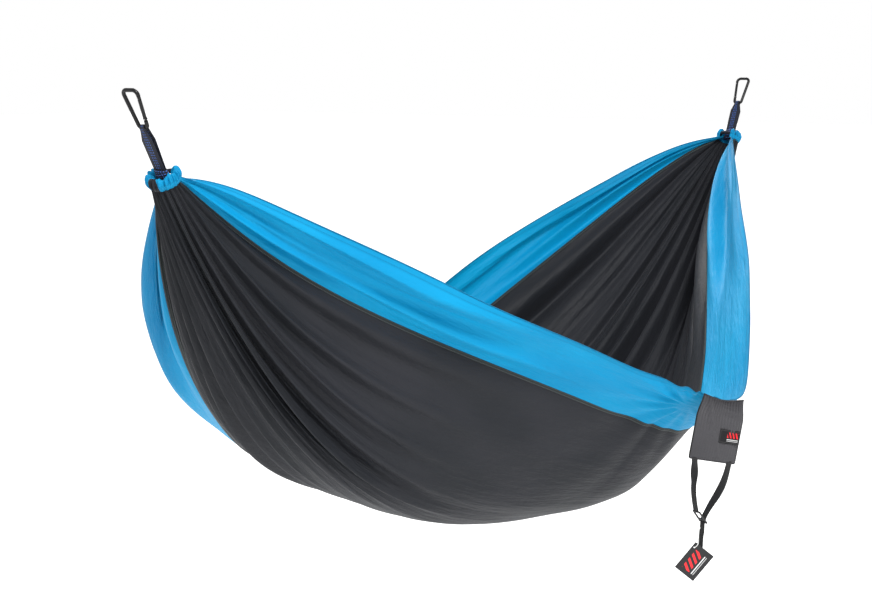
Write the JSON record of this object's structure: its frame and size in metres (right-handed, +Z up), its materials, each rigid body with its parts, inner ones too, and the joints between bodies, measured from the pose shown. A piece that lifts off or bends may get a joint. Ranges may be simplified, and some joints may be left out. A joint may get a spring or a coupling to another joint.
{
  "type": "camping hammock",
  "caption": "Gathered-end nylon camping hammock with contrasting side panels, webbing slings, snap carabiners and a stuff sack sewn to one rim",
  "frame": {"origin": "seat of the left carabiner on its anchor, where the hammock hangs", "axes": "+X from the left anchor to the right anchor, +Z up, -Y the near rim that carries the stuff sack"},
  "size_m": [2.26, 1.2149, 0.9892],
  "materials": {
    "cloth_blue": "smooth nylon",
    "cloth_charcoal": "smooth nylon",
    "webbing": "woven",
    "carabiner_black": "satin black",
    "steel": "bright",
    "sack_grey": "smooth nylon",
    "elastic": "woven",
    "label_cloth": "woven",
    "strap_black": "woven",
    "slider_plastic": "moulded",
    "tag_card": "coated card",
    "fastener_plastic": "translucent"
  },
  "bodies": {
    "hammock": {"centre_panel": "cloth_charcoal", "near_side_panel": "cloth_blue", "far_side_panel": "cloth_blue", "left_channel": "cloth_charcoal", "right_channel": "cloth_charcoal", "left_sling": "webbing", "right_sling": "webbing"},
    "left_carabiner": {"left_carabiner_frame": "carabiner_black", "left_gate_rivet": "steel"},
    "left_gate_set": {"left_gate": "carabiner_black", "left_latch_pin": "steel", "left_gate_plunger": "steel", "left_gate_spring": "steel"},
    "right_carabiner": {"right_carabiner_frame": "carabiner_black", "right_gate_rivet": "steel"},
    "right_gate_set": {"right_gate": "carabiner_black", "right_latch_pin": "steel", "right_gate_plunger": "steel", "right_gate_spring": "steel"},
    "sack": {"sack_body": "sack_grey", "mouth_elastic": "elastic", "sack_label": "label_cloth"},
    "strap": {"strap_left": "strap_black", "strap_right": "strap_black"},
    "slider": {"strap_slider": "slider_plastic"},
    "fastener": {"tag_fastener": "fastener_plastic"},
    "tag": {"hang_tag": "tag_card"}
  },
  "joints": [
    {"name": "left_carabiner_swing", "type": "hinge", "parent": "hammock", "child": "left_carabiner", "pos_m": [0.03064, 0, -0.06014], "axis": [0, 1, 0], "range_deg": [-60, 60]},
    {"name": "left_gate_swing", "type": "hinge", "parent": "left_carabiner", "child": "left_gate_set", "pos_m": [0.02293, -0.01142, -0.045], "axis": [-0.891, 0, -0.454], "range_deg": [0, 28], "stiffness_Nm_per_rad": 0.02, "springref_deg": -11.46},
    {"name": "right_carabiner_swing", "type": "hinge", "parent": "hammock", "child": "right_carabiner", "pos_m": [2.21917, 0, -0.06014], "axis": [0, 1, 0], "range_deg": [-60, 60]},
    {"name": "right_gate_swing", "type": "hinge", "parent": "right_carabiner", "child": "right_gate_set", "pos_m": [2.22689, 0.01142, -0.045], "axis": [0.891, 0, -0.454], "range_deg": [0, 28], "stiffness_Nm_per_rad": 0.02, "springref_deg": -11.46},
    {"name": "sack_swing", "type": "hinge", "parent": "hammock", "child": "sack", "pos_m": [1.06491, -0.567, -0.61602], "axis": [-0.9397, 0.342, 0], "range_deg": [-8, 85]},
    {"name": "strap_swing", "type": "hinge", "parent": "sack", "child": "strap", "pos_m": [1.03728, -0.55694, -0.74502], "axis": [0.9156, -0.3333, -0.225], "range_deg": [-35, 35]},
    {"name": "slider_slide", "type": "slide", "parent": "strap", "child": "slider", "axis": [0.2819, -0.1026, 0.9539], "range_m": [0, 0.006], "deforming": ["strap_left"]},
    {"name": "fastener_swing", "type": "hinge", "parent": "slider", "child": "fastener", "pos_m": [1.01135, -0.5475, -0.86052], "axis": [0.342, 0.9397, 0], "range_deg": [-3, 30]},
    {"name": "tag_swing", "type": "hinge", "parent": "fastener", "child": "tag", "pos_m": [0.99725, -0.54237, -0.91302], "axis": [0.807, 0.5906, 0], "range_deg": [-30, 30]}
  ]
}
